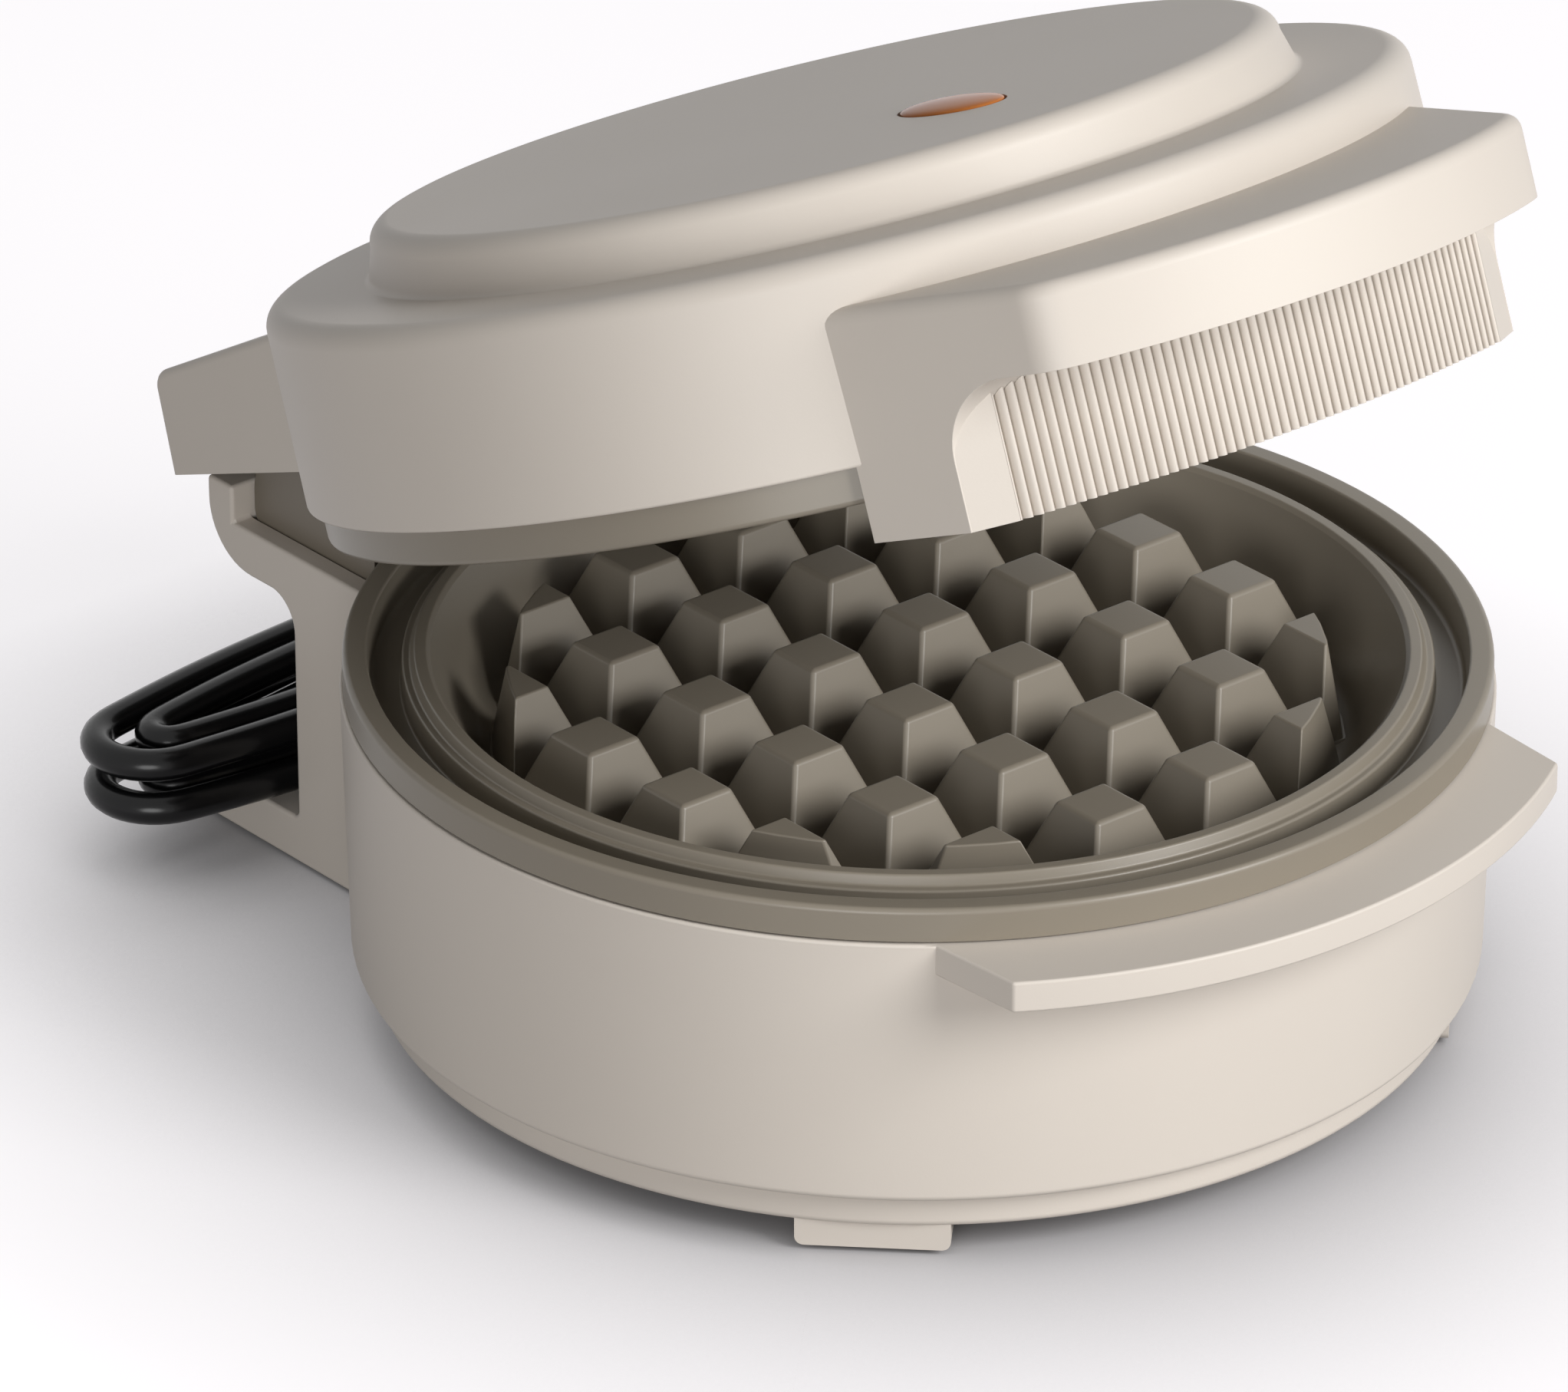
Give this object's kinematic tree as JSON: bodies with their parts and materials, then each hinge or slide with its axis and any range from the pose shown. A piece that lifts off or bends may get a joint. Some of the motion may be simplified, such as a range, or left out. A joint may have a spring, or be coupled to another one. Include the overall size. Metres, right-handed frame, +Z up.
{
  "type": "mini waffle maker",
  "caption": "Small round countertop waffle maker with a hinged lid, deep pyramid plates, a ribbed handle, and its cord wound behind the hinge.",
  "frame": {"origin": "on the ground, under the middle of the appliance's bounding box, cord left out", "axes": "+Z up, +Y towards the hinge and the cord at the back, +X to the right as seen from the handle"},
  "size_m": [0.1656, 0.2067, 0.1419],
  "materials": {
    "warm_cream_plastic": "satin moulded plastic",
    "taupe_ceramic": "cast aluminium with a taupe ceramic non-stick coat",
    "shaded_taupe_plastic": "matte moulded plastic",
    "bright_steel": "plain steel",
    "nickel_brass": "nickel-plated brass",
    "dark_rubber": "matte rubber",
    "black_cord": "glossy flexible sheath",
    "amber_lens": "glossy tinted plastic",
    "white_nylon": "natural nylon",
    "lamp_glass": "clear glass envelope"
  },
  "bodies": {
    "base": {"base_housing": "warm_cream_plastic", "base_cover": "warm_cream_plastic", "hinge_pedestal": "warm_cream_plastic", "hinge_tower": "shaded_taupe_plastic", "lower_plate": "taupe_ceramic", "lower_element": "bright_steel", "lower_reflector": "bright_steel", "thermostat": "bright_steel", "terminal_block": "white_nylon", "strain_relief": "dark_rubber", "cord_post": "warm_cream_plastic", "foot_pad_1": "dark_rubber", "foot_pad_2": "dark_rubber", "foot_pad_3": "dark_rubber", "foot_pad_4": "dark_rubber", "cover_screw_1": "bright_steel", "cover_screw_2": "bright_steel", "cover_screw_3": "bright_steel", "cover_screw_4": "bright_steel", "lower_plate_screw_1": "bright_steel", "lower_plate_screw_2": "bright_steel", "lower_plate_screw_3": "bright_steel", "lower_plate_screw_4": "bright_steel", "hinge_pin_left": "bright_steel", "hinge_pin_right": "bright_steel", "hinge_washer_left": "white_nylon", "hinge_washer_right": "white_nylon", "cord_lead": "black_cord", "cord_hank": "black_cord", "cord_tail": "black_cord", "plug_body": "black_cord", "plug_blade_left": "nickel_brass", "plug_blade_right": "nickel_brass"},
    "lid": {"lid_housing": "warm_cream_plastic", "handle_grip": "warm_cream_plastic", "upper_plate": "taupe_ceramic", "upper_element": "bright_steel", "upper_reflector": "bright_steel", "upper_plate_screw_1": "bright_steel", "upper_plate_screw_2": "bright_steel", "upper_plate_screw_3": "bright_steel", "upper_plate_screw_4": "bright_steel", "thermal_fuse": "bright_steel", "hinge_bracket": "bright_steel", "indicator_lens": "amber_lens", "indicator_lamp": "lamp_glass"}
  },
  "joints": [
    {"name": "lid_hinge", "type": "hinge", "parent": "base", "child": "lid", "pos_m": [0, 0.07787, 0.0513], "axis": [-1, 0, 0], "range_deg": [-21.05, 68.95]}
  ]
}
